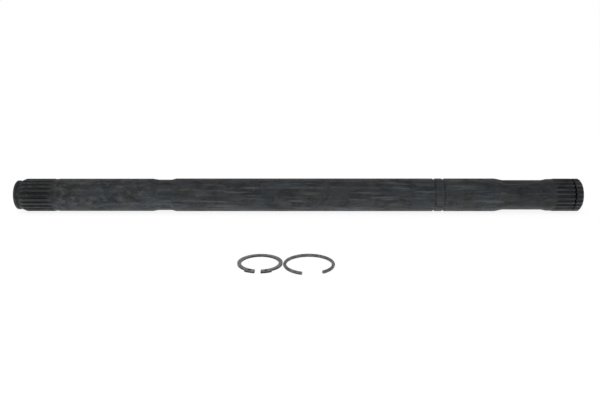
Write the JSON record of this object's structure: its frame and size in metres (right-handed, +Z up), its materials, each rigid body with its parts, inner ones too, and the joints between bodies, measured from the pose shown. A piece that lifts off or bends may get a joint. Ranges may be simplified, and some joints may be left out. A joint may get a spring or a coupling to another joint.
{
  "type": "splined axle shaft with retaining rings",
  "caption": "Bare blackened-steel axle bar, splined at both ends, with a loose lugged circlip and a loose round-wire snap ring beside it.",
  "frame": {"origin": "on the bar's axis at its mid-length", "axes": "+X along the bar's axis towards the end whose ring groove cuts across the teeth, -Y towards the loose rings, +Z up from the surface the bar lies on"},
  "size_m": [0.4194, 0.1368, 0.0246],
  "materials": {
    "blackened_steel": "dark oiled phosphate, satin, faintly mottled and streaked along the bar",
    "spring_steel_strip": "stamped spring steel, dark grey, satin",
    "spring_steel_wire": "drawn spring wire, dark grey, satin"
  },
  "bodies": {
    "shaft": {"axle_shaft": "blackened_steel"},
    "circlip": {"external_circlip": "spring_steel_strip"},
    "snap_ring": {"wire_snap_ring": "spring_steel_wire"}
  },
  "joints": [
    {"name": "circlip_lift", "type": "slide", "parent": "shaft", "child": "circlip", "axis": [0, 0, 1], "range_m": [0, 0.06]},
    {"name": "snap_ring_lift", "type": "slide", "parent": "shaft", "child": "snap_ring", "axis": [0, 0, 1], "range_m": [0, 0.06]}
  ]
}
